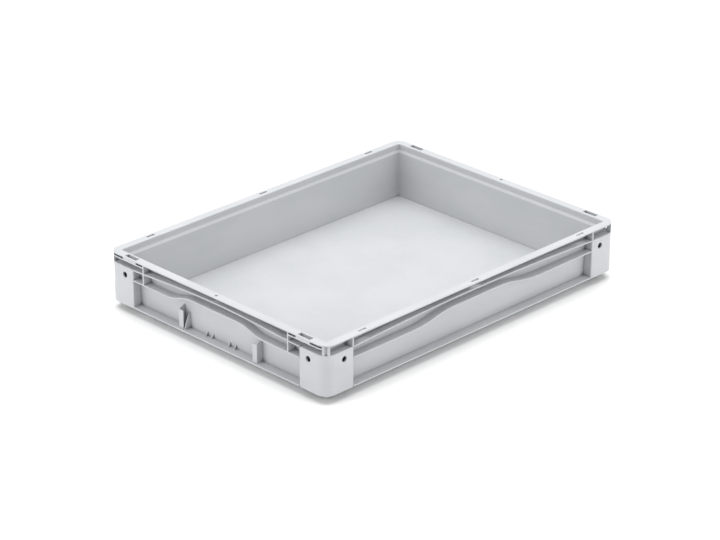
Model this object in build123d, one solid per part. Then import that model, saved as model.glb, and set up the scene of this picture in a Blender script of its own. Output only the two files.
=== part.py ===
"""Shallow stacking tray, 800 x 600 x 120 mm: one injection moulding, split here into its moulded regions.

X runs along the long sides, Y along the short sides, Z up. The origin is the centre of the base, on the ground.
Everything is in millimetres. Every region meets its neighbours face to face.
"""
from build123d import *
import math
import os

# Overall size
LENGTH = 800.0
WIDTH = 600.0
HEIGHT = 120.0

# Rim flange
RIM_THICKNESS = 3.0
RIM_CORNER_RADIUS = 23.0
RIM_WIDTH_SHORT_SIDE = 18.5
RIM_WIDTH_LONG_SIDE = 18.5
RIM_EDGE_FILLET = 1.0
RIM_INNER_FILLET = 2.2

# Tub wall, with its insets measured in from the rim's opening
WALL = 2.8
CORNER_AXIS_INSET = 5.0
OPENING_CORNER_RADIUS = 2.5
LEDGE_INSET = 3.0
LEDGE_CORNER_RADIUS = 2.0
FLOOR_INSET = 6.0
FLOOR_CORNER_RADIUS = 1.5
WALL_SPLIT_FROM_OPENING = 12.0
STACKING_BAND_BOTTOM = 107.0
STACKING_LEDGE_BOTTOM = 101.5
LEDGE_OUTER_DROP = 1.2
FLOOR_TOP = 4.5
FLOOR_BOTTOM = 1.5
BASE_CHAMFER = 1.5

# Outer face of the posts and ribs, just inside the rim's edge
FACE_INSET = 0.8
FACE_CORNER_RADIUS = 22.2
RIB = 2.5
LOWER_EDGE = 17.0
BASE_FLANGE_TOP = 19.8

# Corner posts
POST_WIDTH_LONG_SIDE = 71.0
POST_WIDTH_SHORT_SIDE = 70.6
POST_TOP = 98.7
POST_EDGE_FILLET = 2.2
POST_CAP_FILLET = 1.2
POST_HOLE_RADIUS = 6.0
POST_HOLE_FROM_CORNER = 47.2
POST_HOLE_HEIGHT = 81.5

# Arched grip rib and wavy rib, by the height of their upper face
GRIP_RIB_END_TOP = 99.0
GRIP_RIB_RISE = 9.4
SHOULDER_FRACTION = 0.45
SHOULDER_RISE_LONG_SIDE = 0.8
SHOULDER_RISE_SHORT_SIDE = 0.7
END_SLOPE_LONG_SIDE = 0.057
END_SLOPE_SHORT_SIDE = 0.03
WAVE_RIB_LOW_TOP = 77.0
WAVE_RIB_RISE = 14.0
WAVE_CREST_LONG_SIDE = 55.0
WAVE_FOOT_LONG_SIDE = 178.0
WAVE_CREST_SHORT_SIDE = 60.0
WAVE_FOOT_SHORT_SIDE = 138.0
RIB_NOSE_FILLET = 0.8
RIB_OVERRUN = 3.0
LONG_GRIP_RIB_LENGTHS = 5

# Upright webs under the rim
POCKET_WEB_FROM_CORNER = 100.5
WEB = 3.0
CORNER_WEB_FROM_CORNER = 12.0

# Rim pockets in the short sides, slots in the long sides, gate holes
POCKET_LENGTH = 32.5
POCKET_WIDTH = 10.0
POCKET_CENTRE_FROM_EDGE = 8.5
POCKET_FROM_CORNER = 61.0
POCKET_WALL = 2.2
POCKET_FLOOR_TOP = 113.0
SLOT_LENGTH = 20.0
SLOT_WIDTH = 5.0
SLOT_FROM_EDGE = 9.0
SLOT_SPACING = 300.0
GATE_HOLE_RADIUS = 3.0

# Label holder on the short sides, for a card a little under 212 mm wide
CARD_WIDTH = 212.0
CARD_OFFSET = -4.0
CLIP_WALL = 1.8
CLIP_LIP = 12.0
CLIP_FRONT_FROM_FACE = 4.6
CLIP_LIP_TOP = 58.0
CLIP_WALL_TOP = 67.0
SPRING_FROM_CENTRE = 92.0
SPRING_TOP = 52.0
NIB_REACH = 8.0
NIB_HEIGHT = 10.5
NIB_POSITIONS = (-39.5, -23.5, 23.5, 39.5)

# Base underside
FOOT_INSET = 7.0
FOOT_WIDTH = 12.0
FOOT_OUTER_RADIUS = 4.0
BASE_RIB_WIDTH = 4.0
BASE_RIB_Y = 92.0
BASE_RIB_X = 185.0

# Worked out from the values above
HALF_X = LENGTH / 2
HALF_Y = WIDTH / 2
FACE_X = HALF_X - FACE_INSET
FACE_Y = HALF_Y - FACE_INSET
OPENING_X = HALF_X - RIM_WIDTH_SHORT_SIDE
OPENING_Y = HALF_Y - RIM_WIDTH_LONG_SIDE
AXIS_X = OPENING_X - CORNER_AXIS_INSET
AXIS_Y = OPENING_Y - CORNER_AXIS_INSET
SPLIT_X = OPENING_X - WALL_SPLIT_FROM_OPENING
SPLIT_Y = OPENING_Y - WALL_SPLIT_FROM_OPENING
BAND_OUT = CORNER_AXIS_INSET + WALL
LEDGE_OUT = BAND_OUT - LEDGE_INSET
BASE_OUT = BAND_OUT - FLOOR_INSET
RIM_BOTTOM = HEIGHT - RIM_THICKNESS
POST_X = HALF_X - POST_WIDTH_LONG_SIDE
POST_Y = HALF_Y - POST_WIDTH_SHORT_SIDE
POCKET_Y = HALF_Y - POCKET_FROM_CORNER
POCKET_X = HALF_X - POCKET_CENTRE_FROM_EDGE
POCKET_WEB_Y = HALF_Y - POCKET_WEB_FROM_CORNER
SHELF_BOTTOM = POCKET_FLOOR_TOP - RIB

CORNERS = {"front_left": (-1, -1), "front_right": (1, -1), "rear_left": (-1, 1), "rear_right": (1, 1)}


def block(x, y, z):
    """A box between the two values given for each axis."""
    size = (x[1] - x[0], y[1] - y[0], z[1] - z[0])
    corner = Location((x[0], y[0], z[0]))
    return corner * Box(*size, align=(Align.MIN, Align.MIN, Align.MIN))


def polygon(points):
    """A flat face through points in space."""
    return make_face(Polyline(*points, close=True))


def outline(half_x, half_y, radius, z):
    """An upright prism with rounded corners, between two heights."""
    sketch = Pos(0, 0, z[0]) * RectangleRounded(2 * half_x, 2 * half_y, radius)
    return extrude(sketch, z[1] - z[0])


def flipped(shape, x_side, y_side):
    """A copy of a shape made at the rear right, moved to another corner by mirroring."""
    if x_side < 0:
        shape = mirror(shape, about=Plane.YZ)
    if y_side < 0:
        shape = mirror(shape, about=Plane.XZ)
    return shape


def add_at_corners(nodes, name, shape):
    for corner, (x_side, y_side) in CORNERS.items():
        nodes[f"{name}_{corner}"] = flipped(shape, x_side, y_side)


def add_at_ends(nodes, name, long_side, short_side):
    """The rear piece also makes the front one, and the right piece the left one."""
    nodes[f"{name}_rear"] = long_side
    nodes[f"{name}_front"] = flipped(long_side, 1, -1)
    nodes[f"{name}_right"] = short_side
    nodes[f"{name}_left"] = flipped(short_side, -1, 1)


# ---- tub: floor, drafted walls and the stepped stacking ledge ----

def inner_profile():
    """The inside of the wall as (distance out from the corner axis, height), from the base to the rim."""
    return [
        (BASE_OUT - WALL, FLOOR_BOTTOM),
        (BASE_OUT - WALL, FLOOR_TOP),
        (LEDGE_OUT - WALL, STACKING_LEDGE_BOTTOM),
        (CORNER_AXIS_INSET, STACKING_BAND_BOTTOM),
        (CORNER_AXIS_INSET, RIM_BOTTOM),
    ]


def outer_profile():
    """The outside of the wall, from the rim down to the base."""
    return [
        (BAND_OUT, RIM_BOTTOM),
        (BAND_OUT, STACKING_BAND_BOTTOM - LEDGE_OUTER_DROP),
        (LEDGE_OUT, STACKING_LEDGE_BOTTOM - LEDGE_OUTER_DROP),
        (BASE_OUT, FLOOR_BOTTOM + BASE_CHAMFER),
        (BASE_OUT - BASE_CHAMFER, FLOOR_BOTTOM),
    ]


def along_x(profile, half_length):
    """A (distance, height) profile on the rear side, run along X."""
    face = polygon([(-half_length, AXIS_Y + out, z) for out, z in profile])
    return extrude(face, amount=2 * half_length, dir=(1, 0, 0))


def along_y(profile, half_length):
    """The same on the right side, run along Y."""
    face = polygon([(AXIS_X + out, -half_length, z) for out, z in profile])
    return extrude(face, amount=2 * half_length, dir=(0, 1, 0))


def around_corner(profile):
    face = polygon([(AXIS_X + out, AXIS_Y, z) for out, z in profile])
    return revolve(face, Axis((AXIS_X, AXIS_Y, 0), (0, 0, 1)), 90)


def tub_body():
    """The space the tub fills at the rear right, walls and inside together, for trimming what joins it."""
    outside = [(-AXIS_Y, RIM_BOTTOM)] + outer_profile() + [(-AXIS_Y, FLOOR_BOTTOM)]
    sector = [(0, RIM_BOTTOM)] + outer_profile() + [(0, FLOOR_BOTTOM)]
    return along_x(outside, AXIS_X) + along_y(outside, AXIS_Y) + around_corner(sector)


def cavity():
    """The space inside the tub, from the underside of the floor plate to the rim's underside."""
    floor = (OPENING_X - FLOOR_INSET, OPENING_Y - FLOOR_INSET, FLOOR_CORNER_RADIUS)
    ledge = (OPENING_X - LEDGE_INSET, OPENING_Y - LEDGE_INSET, LEDGE_CORNER_RADIUS)
    opening = (OPENING_X, OPENING_Y, OPENING_CORNER_RADIUS)
    space = outline(*floor, (FLOOR_BOTTOM, FLOOR_TOP))
    space += tapered(floor, FLOOR_TOP, ledge, STACKING_LEDGE_BOTTOM)
    space += tapered(ledge, STACKING_LEDGE_BOTTOM, opening, STACKING_BAND_BOTTOM)
    return space + outline(*opening, (STACKING_BAND_BOTTOM, RIM_BOTTOM))


def tapered(lower, low, upper, high):
    """The solid between two rounded rectangles, each given as (half x, half y, corner radius)."""
    sections = []
    for (half_x, half_y, radius), z in ((lower, low), (upper, high)):
        sections.append(Pos(0, 0, z) * RectangleRounded(2 * half_x, 2 * half_y, radius))
    return loft(sections, ruled=True)


def tub_nodes():
    wall = inner_profile() + outer_profile()
    floor_x = OPENING_X - FLOOR_INSET
    floor_y = OPENING_Y - FLOOR_INSET
    corner = tub_body() & block((SPLIT_X, HALF_X), (SPLIT_Y, HALF_Y), (FLOOR_BOTTOM, RIM_BOTTOM))
    nodes = {"floor_plate": outline(floor_x, floor_y, FLOOR_CORNER_RADIUS, (FLOOR_BOTTOM, FLOOR_TOP))}
    add_at_ends(nodes, "wall", along_x(wall, SPLIT_X), along_y(wall, SPLIT_Y))
    add_at_corners(nodes, "wall_corner", corner - cavity())
    return nodes


# ---- rim flange, its pockets and slots ----

def rim_ring():
    ring = outline(HALF_X, HALF_Y, RIM_CORNER_RADIUS, (RIM_BOTTOM, HEIGHT))
    ring -= outline(OPENING_X, OPENING_Y, OPENING_CORNER_RADIUS, (RIM_BOTTOM, HEIGHT))
    inner = [edge for edge in ring.faces().sort_by(Axis.Z)[-1].edges() if not on_outer_edge(edge)]
    ring = fillet(inner, RIM_INNER_FILLET)
    upper = ring.faces().sort_by(Axis.Z)[-1].edges()
    lower = ring.faces().sort_by(Axis.Z)[0].edges()
    outer = [edge for edge in list(upper) + list(lower) if on_outer_edge(edge)]
    return fillet(outer, RIM_EDGE_FILLET)


def on_outer_edge(edge):
    middle = edge.position_at(0.5)
    half_rim = RIM_WIDTH_SHORT_SIDE / 2
    return abs(middle.X) > HALF_X - half_rim or abs(middle.Y) > HALF_Y - half_rim


def rim_slot(x):
    length = (x - SLOT_LENGTH / 2, x + SLOT_LENGTH / 2)
    middle = HALF_Y - SLOT_FROM_EDGE
    return block(length, (middle - SLOT_WIDTH / 2, middle + SLOT_WIDTH / 2), (RIM_BOTTOM, HEIGHT))


def pocket_span(margin):
    return (POCKET_Y - POCKET_LENGTH / 2 - margin, POCKET_Y + POCKET_LENGTH / 2 + margin)


def rim_nodes():
    ring = rim_ring()
    high = (RIM_BOTTOM, HEIGHT)
    block_start = pocket_span(POCKET_WALL)[0]
    rear = ring & block((-AXIS_X, AXIS_X), (AXIS_Y, HALF_Y), high)
    for x in (-SLOT_SPACING, 0, SLOT_SPACING):
        rear -= rim_slot(x)
    right = ring & block((AXIS_X, HALF_X), (-block_start, block_start), high)
    right -= Pos(POCKET_X, 0, RIM_BOTTOM) * Cylinder(GATE_HOLE_RADIUS, 3 * RIM_THICKNESS)
    nodes = {}
    add_at_ends(nodes, "rim", rear, right)
    add_at_corners(nodes, "rim_corner", ring & block((AXIS_X, HALF_X), (AXIS_Y, HALF_Y), high))
    add_at_corners(nodes, "rim_pocket", rim_pocket(ring))
    return nodes


def rim_pocket(ring):
    """A short length of rim with the open box that hangs below it, and the shelf that closes the box."""
    low, high = pocket_span(POCKET_WALL)
    rim_piece = ring & block((AXIS_X, HALF_X), (low, AXIS_Y), (RIM_BOTTOM, HEIGHT))
    box = block((AXIS_X, FACE_X), (low, high), (POCKET_FLOOR_TOP, RIM_BOTTOM))
    shelf_start = POCKET_WEB_Y + WEB / 2
    shelf_end = HALF_Y - CORNER_WEB_FROM_CORNER - WEB / 2
    shelf = block((AXIS_X, FACE_X), (shelf_start, shelf_end), (SHELF_BOTTOM, POCKET_FLOOR_TOP))
    shelf &= outline(FACE_X, FACE_Y, FACE_CORNER_RADIUS, (SHELF_BOTTOM, POCKET_FLOOR_TOP))
    width = (POCKET_X - POCKET_WIDTH / 2, POCKET_X + POCKET_WIDTH / 2)
    hollow = block(width, pocket_span(0), (POCKET_FLOOR_TOP, HEIGHT))
    return rim_piece + (box + shelf - tub_body()) - hollow


# ---- arched and wavy ribs of the side faces ----

def side_band(half_length, rise_curve, base_height):
    """A rib RIB thick whose upper face follows rise_curve, seen square on in the XZ plane."""
    upper = rise_curve(half_length, base_height)
    lower = rise_curve(half_length, base_height - RIB)
    ends = [Line(upper @ 0, lower @ 0), Line(upper @ 1, lower @ 1)]
    return make_face([*upper.edges(), *lower.edges(), *ends])


def arch_curve(shoulder_rise, end_slope):
    """An arch drawn as two mirrored halves, each bent through a shoulder part of the way along."""
    def curve(half_length, height):
        crown = (0, 0, height + GRIP_RIB_RISE)
        halves = []
        for side in (-1, 1):
            end = (side * half_length, 0, height)
            shoulder = (side * SHOULDER_FRACTION * half_length, 0, height + shoulder_rise * GRIP_RIB_RISE)
            halves.append(Spline(end, shoulder, crown, tangents=[(-side, 0, end_slope), (-side, 0, 0)]).edge())
        return Wire(halves)

    return curve


def wave_curve(crest, foot):
    """Level at both ends, raised by WAVE_RIB_RISE between the crests, with an S of two arcs on each slope."""
    run = foot - crest
    bend = 2 * math.atan(WAVE_RIB_RISE / run)
    radius = run / 2 / math.sin(bend)
    across = radius * math.sin(bend / 2)
    up = radius * (1 - math.cos(bend / 2))

    def curve(half_length, height):
        low = height
        top = height + WAVE_RIB_RISE
        edges = [Line((-half_length, 0, low), (-foot, 0, low))]
        for side in (-1, 1):
            middle = (side * (foot + crest) / 2, 0, (low + top) / 2)
            edges.append(ThreePointArc((side * foot, 0, low), (side * (foot - across), 0, low + up), middle))
            edges.append(ThreePointArc(middle, (side * (crest + across), 0, top - up), (side * crest, 0, top)))
        edges.append(Line((-crest, 0, top), (crest, 0, top)))
        edges.append(Line((foot, 0, low), (half_length, 0, low)))
        return Wire([edge.edge() for edge in edges])

    return curve


def side_rib(half_length, face_distance, wall_axis, curve, height):
    """A side rib from the wall out to the face plane, made on the rear side of a tub with that wall axis."""
    overlong = half_length + RIB_OVERRUN
    face = Pos(0, wall_axis, 0) * side_band(overlong, curve, height)
    rib = extrude(face, amount=face_distance - wall_axis, dir=(0, 1, 0))
    nose = [edge for edge in rib.edges() if is_nose(edge, face_distance, overlong)]
    rib = fillet(nose, RIB_NOSE_FILLET)
    rib &= block((-half_length, half_length), (wall_axis, face_distance), (LOWER_EDGE, RIM_BOTTOM))
    inside = [(-wall_axis, RIM_BOTTOM)] + outer_profile() + [(-wall_axis, FLOOR_BOTTOM)]
    wall_face = polygon([(-overlong, wall_axis + out, z) for out, z in inside])
    return rib - extrude(wall_face, amount=2 * overlong, dir=(1, 0, 0))


def in_lengths(rib):
    """A rib of a long side cut square across into equal solids, each of them nearly straight."""
    step = 2 * POST_X / LONG_GRIP_RIB_LENGTHS
    solids = []
    for count in range(LONG_GRIP_RIB_LENGTHS):
        span = (count * step - POST_X, (count + 1) * step - POST_X)
        solids.append((rib & block(span, (-HALF_Y, HALF_Y), (LOWER_EDGE, RIM_BOTTOM))).solid())
    return Compound(solids)


def is_nose(edge, face_distance, half_length):
    """True for the long outer edges of a side rib, not for the short ones at its ends."""
    middle = edge.position_at(0.5)
    at_end = abs(abs(middle.X) - half_length) < 1e-3
    return abs(middle.Y - face_distance) < 1e-3 and not at_end


def rib_pair(nodes, name, long_curve, short_curve, height):
    long_side = side_rib(POST_X, FACE_Y, AXIS_Y, long_curve, height)
    short_side = Rot(0, 0, -90) * side_rib(POST_Y, FACE_X, AXIS_X, short_curve, height)
    add_at_ends(nodes, name, long_side, short_side)


def rib_nodes():
    nodes = {}
    long_arch = arch_curve(SHOULDER_RISE_LONG_SIDE, END_SLOPE_LONG_SIDE)
    short_arch = arch_curve(SHOULDER_RISE_SHORT_SIDE, END_SLOPE_SHORT_SIDE)
    rib_pair(nodes, "grip_rib", long_arch, short_arch, GRIP_RIB_END_TOP)
    nodes["grip_rib_rear"] = in_lengths(nodes["grip_rib_rear"])
    nodes["grip_rib_front"] = in_lengths(nodes["grip_rib_front"])
    long_wave = wave_curve(WAVE_CREST_LONG_SIDE, WAVE_FOOT_LONG_SIDE)
    short_wave = wave_curve(WAVE_CREST_SHORT_SIDE, WAVE_FOOT_SHORT_SIDE)
    rib_pair(nodes, "wave_rib", long_wave, short_wave, WAVE_RIB_LOW_TOP)
    height = (LOWER_EDGE, BASE_FLANGE_TOP)
    rear = block((-POST_X, POST_X), (AXIS_Y, FACE_Y), height) - along_x_body()
    right = block((AXIS_X, FACE_X), (-POST_Y, POST_Y), height) - along_y_body()
    add_at_ends(nodes, "base_flange", rear, right)
    return nodes


def along_x_body():
    return along_x([(-AXIS_Y, RIM_BOTTOM)] + outer_profile() + [(-AXIS_Y, FLOOR_BOTTOM)], AXIS_X)


def along_y_body():
    return along_y([(-AXIS_X, RIM_BOTTOM)] + outer_profile() + [(-AXIS_X, FLOOR_BOTTOM)], AXIS_Y)


# ---- corner posts and upright webs ----

def corner_post():
    """A hollow corner shell, open below, with a capped top and a round hole in each face."""
    height = (LOWER_EDGE, POST_TOP)
    body = outline(FACE_X, FACE_Y, FACE_CORNER_RADIUS, height)
    body &= block((POST_X, HALF_X), (POST_Y, HALF_Y), height)
    sharp = [edge for edge in body.edges().filter_by(Axis.Z) if is_post_front_edge(edge)]
    body = fillet(sharp, POST_EDGE_FILLET)
    rims = [edge for edge in body.faces().sort_by(Axis.Z)[-1].edges() if is_outer_top_edge(edge)]
    body = fillet(rims, POST_CAP_FILLET)
    hollow = outline(FACE_X - WALL, FACE_Y - WALL, FACE_CORNER_RADIUS - WALL, (LOWER_EDGE, POST_TOP - RIB))
    hollow &= block((POST_X + WALL, HALF_X), (POST_Y + WALL, HALF_Y), (LOWER_EDGE, POST_TOP - RIB))
    across = Rot(90, 0, 0) * Cylinder(POST_HOLE_RADIUS, 4 * WALL)
    through = Rot(0, 90, 0) * Cylinder(POST_HOLE_RADIUS, 4 * WALL)
    body -= hollow
    body -= Pos(HALF_X - POST_HOLE_FROM_CORNER, FACE_Y, POST_HOLE_HEIGHT) * across
    body -= Pos(FACE_X, HALF_Y - POST_HOLE_FROM_CORNER, POST_HOLE_HEIGHT) * through
    return body - tub_body()


def is_post_front_edge(edge):
    """The two upright edges where the post's faces turn in towards the wall."""
    middle = edge.position_at(0.5)
    on_long_side = abs(middle.X - POST_X) < 1e-3 and abs(middle.Y - FACE_Y) < 1e-3
    on_short_side = abs(middle.Y - POST_Y) < 1e-3 and abs(middle.X - FACE_X) < 1e-3
    return on_long_side or on_short_side


def is_outer_top_edge(edge):
    """True for the cap's edges along the two outer faces and round the corner between them."""
    middle = edge.position_at(0.5)
    return middle.X > POST_X + 1 and middle.Y > POST_Y + 1


def pocket_web():
    """An upright web on the short side from the rim to the wavy rib, in two lengths around the grip rib."""
    span = (POCKET_WEB_Y - WEB / 2, POCKET_WEB_Y + WEB / 2)
    return block((AXIS_X, FACE_X), span, (WAVE_RIB_LOW_TOP, RIM_BOTTOM)) - tub_body()


def corner_web():
    """The web over the post's edge on the long side, and the two crossed webs at the rounded corner."""
    height = (POST_TOP, RIM_BOTTOM)
    edge_web = block((POST_X, POST_X + WEB), (AXIS_Y, FACE_Y), height) - tub_body()
    x_low = HALF_X - CORNER_WEB_FROM_CORNER - WEB / 2
    y_low = HALF_Y - CORNER_WEB_FROM_CORNER - WEB / 2
    crossed = block((x_low, x_low + WEB), (y_low, HALF_Y), height)
    crossed += block((x_low, HALF_X), (y_low, y_low + WEB), height)
    crossed &= outline(FACE_X, FACE_Y, FACE_CORNER_RADIUS, height)
    return Compound([edge_web.solid(), crossed.solid()])


def corner_nodes(grip_rib):
    nodes = {}
    add_at_corners(nodes, "corner_post", corner_post())
    add_at_corners(nodes, "pocket_web", pocket_web() - grip_rib)
    add_at_corners(nodes, "corner_web", corner_web())
    return nodes


# ---- label holder ----

def label_clip(side):
    """A clip at one end of the card, on the left side: a side wall with a sloping top, and a lip over the card."""
    outer = CARD_OFFSET + side * (CARD_WIDTH / 2 + CLIP_WALL)
    inner = CARD_OFFSET + side * (CARD_WIDTH / 2)
    tip = outer - side * CLIP_LIP
    front = -FACE_X + CLIP_FRONT_FROM_FACE
    low, high = sorted((outer, inner))
    points = [
        (front, low, BASE_FLANGE_TOP),
        (front, low, CLIP_LIP_TOP),
        (-AXIS_X, low, CLIP_WALL_TOP),
        (-AXIS_X, low, BASE_FLANGE_TOP),
    ]
    wall = extrude(polygon(points), amount=high - low, dir=(0, 1, 0))
    lip = block((front, front + CLIP_WALL), sorted((outer, tip)), (BASE_FLANGE_TOP, CLIP_LIP_TOP))
    return wall + lip - along_y_body_left()


def label_spring():
    """A thin upright gusset with a hollow-curved front edge, which presses on the card's end."""
    middle = CARD_OFFSET + SPRING_FROM_CENTRE
    front = -FACE_X + CLIP_FRONT_FROM_FACE
    foot = (front, middle - CLIP_WALL / 2, BASE_FLANGE_TOP)
    top = (-AXIS_X - LEDGE_OUT, middle - CLIP_WALL / 2, SPRING_TOP)
    waist = (front + 4.5, middle - CLIP_WALL / 2, (BASE_FLANGE_TOP + SPRING_TOP) / 2)
    back_top = (-AXIS_X, middle - CLIP_WALL / 2, SPRING_TOP)
    back_foot = (-AXIS_X, middle - CLIP_WALL / 2, BASE_FLANGE_TOP)
    edges = [ThreePointArc(foot, waist, top), Polyline(top, back_top, back_foot, foot)]
    gusset = extrude(make_face(edges), amount=CLIP_WALL, dir=(0, 1, 0))
    return gusset - along_y_body_left()


def label_nibs():
    """Four small triangular nibs that hold the card's lower edge off the wall."""
    wall_face = -AXIS_X - BASE_OUT
    nibs = []
    for middle in NIB_POSITIONS:
        start = middle - CLIP_WALL / 2
        points = [
            (wall_face - NIB_REACH, start, BASE_FLANGE_TOP),
            (wall_face, start, BASE_FLANGE_TOP + NIB_HEIGHT),
            (-AXIS_X, start, BASE_FLANGE_TOP + NIB_HEIGHT),
            (-AXIS_X, start, BASE_FLANGE_TOP),
        ]
        nib = extrude(polygon(points), amount=CLIP_WALL, dir=(0, 1, 0)) - along_y_body_left()
        nibs.append(nib.solid())
    return Compound(nibs)


def along_y_body_left():
    return flipped(along_y_body(), -1, 1)


def label_nodes():
    """The holder on the left side, and the same turned half round for the right side."""
    plain = label_clip(-1)
    sprung = Compound([label_clip(1).solid(), label_spring().solid()])
    nibs = label_nibs()
    nodes = {}
    for side, turn in (("left", 0), ("right", 180)):
        nodes[f"label_clip_{side}"] = Rot(0, 0, turn) * plain
        nodes[f"label_spring_clip_{side}"] = Rot(0, 0, turn) * sprung
        nodes[f"label_nibs_{side}"] = Rot(0, 0, turn) * nibs
    return nodes


# ---- base underside ----

def base_nodes():
    foot_x = OPENING_X - FOOT_INSET
    foot_y = OPENING_Y - FOOT_INSET
    inner_x = foot_x - FOOT_WIDTH
    inner_y = foot_y - FOOT_WIDTH
    low = (0, FLOOR_BOTTOM)
    ring = outline(foot_x, foot_y, FOOT_OUTER_RADIUS, low)
    rear = ring & block((-foot_x, foot_x), (inner_y, foot_y), low)
    right = block((inner_x, foot_x), (-inner_y, inner_y), low)
    nodes = {}
    add_at_ends(nodes, "foot", rear, right)
    half = BASE_RIB_WIDTH / 2
    for name, y in (("front", -BASE_RIB_Y), ("rear", BASE_RIB_Y)):
        nodes[f"base_rib_{name}"] = block((-inner_x, inner_x), (y - half, y + half), low)
    spans = [(-inner_y, -BASE_RIB_Y - half), (-BASE_RIB_Y + half, BASE_RIB_Y - half), (BASE_RIB_Y + half, inner_y)]
    for name, x in (("left", -BASE_RIB_X), ("right", BASE_RIB_X)):
        pieces = [block((x - half, x + half), span, low).solid() for span in spans]
        nodes[f"base_cross_rib_{name}"] = Compound(pieces)
    return nodes


def main():
    nodes = {}
    nodes.update(tub_nodes())
    nodes.update(rim_nodes())
    nodes.update(rib_nodes())
    nodes.update(corner_nodes(nodes["grip_rib_right"]))
    nodes.update(label_nodes())
    nodes.update(base_nodes())
    os.makedirs("parts", exist_ok=True)
    for name, shape in nodes.items():
        export_step(shape, f"parts/{name}.step")
    print(len(nodes), "nodes")


main()
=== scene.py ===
"""Looks of the shallow grey stacking tray: its moulded plastic, the floor, the lights and the camera.

Everything is in metres, in the CAD frame: X along the long sides, Y along the short sides, Z up, and the
origin on the ground.
"""

import math

import bpy
from mathutils import Matrix, Vector


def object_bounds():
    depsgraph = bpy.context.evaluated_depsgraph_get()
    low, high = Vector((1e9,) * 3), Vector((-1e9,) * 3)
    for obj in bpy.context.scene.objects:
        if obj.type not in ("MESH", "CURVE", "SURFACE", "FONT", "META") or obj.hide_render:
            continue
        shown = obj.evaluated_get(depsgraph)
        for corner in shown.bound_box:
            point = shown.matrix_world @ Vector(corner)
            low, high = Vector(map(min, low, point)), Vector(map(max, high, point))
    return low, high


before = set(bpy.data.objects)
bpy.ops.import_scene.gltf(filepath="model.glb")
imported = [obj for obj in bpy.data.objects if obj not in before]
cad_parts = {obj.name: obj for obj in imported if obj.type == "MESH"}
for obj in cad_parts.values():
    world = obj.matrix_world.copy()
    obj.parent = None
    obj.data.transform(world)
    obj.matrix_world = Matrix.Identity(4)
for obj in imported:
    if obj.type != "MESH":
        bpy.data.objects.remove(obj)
cad_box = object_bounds()

# Camera: where it stands round the tray, in degrees and metres
CAMERA_AZIMUTH = -45.0
CAMERA_ELEVATION = 24.91
CAMERA_ROLL = 0.16
CAMERA_DISTANCE = 5.393
CAMERA_TARGET = Vector((-0.0512, -0.0366, 0.0734))
CAMERA_LENS_MM = 139.46
CAMERA_SENSOR_MM = 36.0
CAMERA_CLIP_END = 100

# Plastic: linear colours, and lengths in metres
PLASTIC = (0.425, 0.437, 0.452)
PLASTIC_PALE = (0.450, 0.460, 0.474)
PLASTIC_SCUFF = (0.56, 0.565, 0.57)
# Near-black grey of the painted shade that darkens crevices
PAINTED_SHADE = (0.13, 0.135, 0.14)
ROUGHNESS_LOW = 0.36
ROUGHNESS_HIGH = 0.50
ROUGHNESS_SCUFF = 0.62
REFRACTIVE_INDEX = 1.49
SPECULAR_LEVEL = 0.45
GLOSS_PATCH_SIZE = 0.035
GRAIN_SIZE = 0.0007
GRAIN_DEPTH = 0.00003
WARP_SIZE = 0.09
WARP_DEPTH = 0.00012
FLOW_SIZE = 0.16
FLOW_SQUASH = 2.5

# Painted crevice shade: how far a crevice reaches, and how open it is where the painted shade starts and
# where it is full
CREVICE_REACH = 0.010
CREVICE_SAMPLES = 8
PAINTED_SHADE_STARTS = 0.70
PAINTED_SHADE_FULL = 0.18
PAINTED_SHADE_THIN = 0.55
PAINTED_SHADE_THICK = 0.85
SPECKLE_SIZE = 0.006

# Scuffs: depths below the rim's top, and heights above the ground, between which they fade
RIM_SCUFF_DEEPEST = 0.0012
RIM_SCUFF_FULL = 0.0002
LOW_SCUFF_HIGHEST = 0.0215
LOW_SCUFF_FULL = 0.0175
SCUFF_SIZE = 0.004
SCUFF_SQUASH = 6.0
SCUFF_THRESHOLD = (0.56, 0.66)
SCUFF_STRENGTH = 0.5

# Floor and lights
FLOOR_COLOUR = (0.86, 0.86, 0.86)
FLOOR_CLOUD_SIZE = 1.5
FLOOR_CLOUD_SHADE = 0.985
FLOOR_ROUGHNESS = 0.9
FLOOR_SPECULAR_LEVEL = 0.2
FLOOR_REACH = 12.0
FLOOR_DROP = 0.0005
SKY_COLOUR = (1.0, 1.0, 1.0)
SKY_STRENGTH = 0.80
LIGHT_AIM = (0.0, 0.0, 0.05)

# Name, place, width and height, and power in watts
SOFTBOXES = (
    ("overhead_softbox", (0.2, 0.3, 3.0), (4.0, 3.2), 113),
    ("left_softbox", (-4.0, 1.6, 1.6), (3.0, 2.0), 66),
    ("front_softbox", (1.6, -4.0, 1.6), (3.0, 2.0), 60),
)


# ---- material ----

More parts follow.
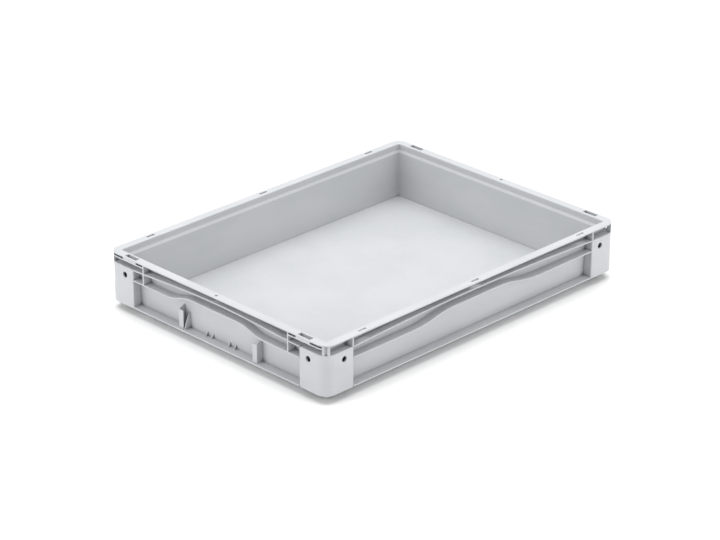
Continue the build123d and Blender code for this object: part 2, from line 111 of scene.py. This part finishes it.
class Nodes:
    """Adds shader nodes to a material and links them, left to right."""

    SPACING = 180

    def __init__(self, material):
        material.use_nodes = True
        self.tree = material.node_tree
        self.tree.nodes.clear()
        self.column = 0

    def add(self, kind, inputs=(), **settings):
        node = self.tree.nodes.new(kind)
        node.location = (self.column * self.SPACING, 0)
        self.column += 1
        for name, value in settings.items():
            setattr(node, name, value)
        for socket, value in dict(inputs).items():
            self.feed(node.inputs[socket], value)
        return node

    def feed(self, socket, value):
        """Links an output to the socket, or sets the socket's own value."""
        if isinstance(value, bpy.types.NodeSocket):
            self.tree.links.new(value, socket)
        else:
            socket.default_value = value

    def noise(self, position, size, detail, roughness=0.5):
        inputs = {
            "Vector": position, "Scale": 1 / size, "Detail": detail, "Roughness": roughness,
        }
        return self.add("ShaderNodeTexNoise", inputs).outputs["Fac"]

    def squash(self, position, factor):
        """Makes a pattern shorter in height by the factor."""
        inputs = {"Vector": position, "Scale": (1.0, 1.0, factor)}
        return self.add("ShaderNodeMapping", inputs).outputs["Vector"]

    def ramp(self, value, low, high, to_low=0.0, to_high=1.0):
        """Maps low..high to to_low..to_high, smoothly and clamped."""
        inputs = {
            "Value": value, "From Min": low, "From Max": high, "To Min": to_low, "To Max": to_high,
        }
        node = self.add("ShaderNodeMapRange", inputs, interpolation_type="SMOOTHSTEP")
        return node.outputs["Result"]

    def maths(self, operation, a, b):
        return self.add("ShaderNodeMath", {0: a, 1: b}, operation=operation).outputs[0]

    def blend(self, factor, a, b):
        """Colour a where the factor is 0, and b where it is 1."""
        node = self.add("ShaderNodeMix", data_type="RGBA")
        colours = [socket for socket in node.inputs if socket.type == "RGBA"]
        self.feed(node.inputs["Factor"], factor)
        for socket, colour in zip(colours, (a, b)):
            self.feed(socket, (*colour, 1.0) if isinstance(colour, tuple) else colour)
        return next(socket for socket in node.outputs if socket.type == "RGBA")

    def bump(self, height, depth, normal=None):
        inputs = {"Height": height, "Distance": depth, "Strength": 1.0}
        if normal:
            inputs["Normal"] = normal
        return self.add("ShaderNodeBump", inputs).outputs["Normal"]


def polypropylene(top):
    """Satin injection-moulded plastic.

    It has fine spark grain, faint flow marks, painted shade darkening its crevices, and scuffs on the
    rim's top and on everything near the ground, which takes in the tray's floor.
    """
    material = bpy.data.materials.new("moulded_grey_polypropylene")
    n = Nodes(material)
    position = n.add("ShaderNodeTexCoord").outputs["Object"]
    height = n.add("ShaderNodeSeparateXYZ", {"Vector": position}).outputs["Z"]

    flow = n.noise(n.squash(position, FLOW_SQUASH), FLOW_SIZE, 3.0, 0.55)
    colour = n.blend(n.ramp(flow, 0.35, 0.65), PLASTIC, PLASTIC_PALE)

    # Painted shade: where ambient occlusion finds a crevice, the colour is darkened towards a near-black
    # grey, with speckled strength
    crevice = {"Distance": CREVICE_REACH}
    openness = n.add("ShaderNodeAmbientOcclusion", crevice, samples=CREVICE_SAMPLES).outputs["AO"]
    speckle = n.ramp(n.noise(position, SPECKLE_SIZE, 4.0, 0.7), 0.3, 0.7)
    shade_amount = n.ramp(openness, PAINTED_SHADE_STARTS, PAINTED_SHADE_FULL)
    painted_shade = n.maths("MULTIPLY", shade_amount, n.ramp(speckle, 0.0, 1.0, PAINTED_SHADE_THIN, PAINTED_SHADE_THICK))
    colour = n.blend(painted_shade, colour, PAINTED_SHADE)

    streaks = n.squash(position, SCUFF_SQUASH)
    near_top = n.ramp(height, top - RIM_SCUFF_DEEPEST, top - RIM_SCUFF_FULL)
    near_ground = n.ramp(height, LOW_SCUFF_HIGHEST, LOW_SCUFF_FULL)
    worn_face = n.maths("MAXIMUM", near_top, near_ground)
    scratch = n.ramp(n.noise(streaks, SCUFF_SIZE, 6.0, 0.75), *SCUFF_THRESHOLD)
    scuff = n.maths("MULTIPLY", worn_face, scratch)
    colour = n.blend(n.maths("MULTIPLY", scuff, SCUFF_STRENGTH), colour, PLASTIC_SCUFF)

    gloss_patch = n.noise(position, GLOSS_PATCH_SIZE, 4.0, 0.6)
    roughness = n.ramp(gloss_patch, 0.3, 0.7, ROUGHNESS_LOW, ROUGHNESS_HIGH)
    roughness = n.maths("MAXIMUM", roughness, n.maths("MULTIPLY", scuff, ROUGHNESS_SCUFF))

    warp = n.bump(n.noise(position, WARP_SIZE, 2.0), WARP_DEPTH)
    grain = n.bump(n.noise(position, GRAIN_SIZE, 3.0, 0.65), GRAIN_DEPTH, warp)

    shader = n.add("ShaderNodeBsdfPrincipled", {
        "Base Color": colour, "Roughness": roughness, "Normal": grain,
        "IOR": REFRACTIVE_INDEX, "Specular IOR Level": SPECULAR_LEVEL,
    })
    n.add("ShaderNodeOutputMaterial", {"Surface": shader.outputs["BSDF"]})
    return material


def pale_floor():
    material = bpy.data.materials.new("pale_floor")
    n = Nodes(material)
    position = n.add("ShaderNodeTexCoord").outputs["Object"]
    cloud = n.noise(position, FLOOR_CLOUD_SIZE, 2.0)
    shade = tuple(FLOOR_CLOUD_SHADE * value for value in FLOOR_COLOUR)
    shader = n.add("ShaderNodeBsdfPrincipled", {
        "Base Color": n.blend(cloud, shade, FLOOR_COLOUR),
        "Roughness": FLOOR_ROUGHNESS, "Specular IOR Level": FLOOR_SPECULAR_LEVEL,
    })
    n.add("ShaderNodeOutputMaterial", {"Surface": shader.outputs["BSDF"]})
    return material


def dress(nodes, material):
    """Gives every CAD node the plastic."""
    for node in nodes.values():
        node.data.materials.clear()
        node.data.materials.append(material)


# ---- stage, lights, camera ----

def make_floor():
    """A square just below the ground, clear of the tray's feet."""
    signs = ((-1, -1), (1, -1), (1, 1), (-1, 1))
    corners = [(x * FLOOR_REACH, y * FLOOR_REACH, -FLOOR_DROP) for x, y in signs]
    mesh = bpy.data.meshes.new("floor")
    mesh.from_pydata(corners, [], [(0, 1, 2, 3)])
    floor = bpy.data.objects.new("floor", mesh)
    bpy.context.scene.collection.objects.link(floor)
    mesh.materials.append(pale_floor())


def make_sky():
    world = bpy.data.worlds.new("studio")
    world.use_nodes = True
    background = world.node_tree.nodes["Background"]
    background.inputs["Color"].default_value = (*SKY_COLOUR, 1.0)
    background.inputs["Strength"].default_value = SKY_STRENGTH
    bpy.context.scene.world = world


def softbox(name, place, size, power):
    """A rectangular area light at place, facing the tray."""
    light = bpy.data.lights.new(name, "AREA")
    light.shape = "RECTANGLE"
    light.size, light.size_y = size
    light.energy = power
    lamp = bpy.data.objects.new(name, light)
    lamp.location = place
    lamp.rotation_mode = "QUATERNION"
    lamp.rotation_quaternion = (Vector(LIGHT_AIM) - Vector(place)).to_track_quat("-Z", "Y")
    bpy.context.scene.collection.objects.link(lamp)


def make_camera():
    azimuth = math.radians(CAMERA_AZIMUTH)
    elevation = math.radians(CAMERA_ELEVATION)
    level = math.cos(elevation)
    back = Vector((math.sin(azimuth) * level, -math.cos(azimuth) * level, math.sin(elevation)))
    right = Vector((0, 0, 1)).cross(back).normalized()
    up = back.cross(right)
    turn = Matrix.Rotation(math.radians(CAMERA_ROLL), 3, back)
    axes = Matrix((turn @ right, turn @ up, back)).transposed()
    data = bpy.data.cameras.new("camera")
    data.lens = CAMERA_LENS_MM
    data.sensor_width = CAMERA_SENSOR_MM
    data.clip_end = CAMERA_CLIP_END
    camera = bpy.data.objects.new("camera", data)
    camera.matrix_world = Matrix.Translation(CAMERA_TARGET + back * CAMERA_DISTANCE) @ axes.to_4x4()
    bpy.context.scene.collection.objects.link(camera)
    bpy.context.scene.camera = camera


dress(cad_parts, polypropylene(cad_box[1].z))
make_floor()
make_sky()
for box in SOFTBOXES:
    softbox(*box)
make_camera()
bpy.context.scene.view_settings.view_transform = "Standard"
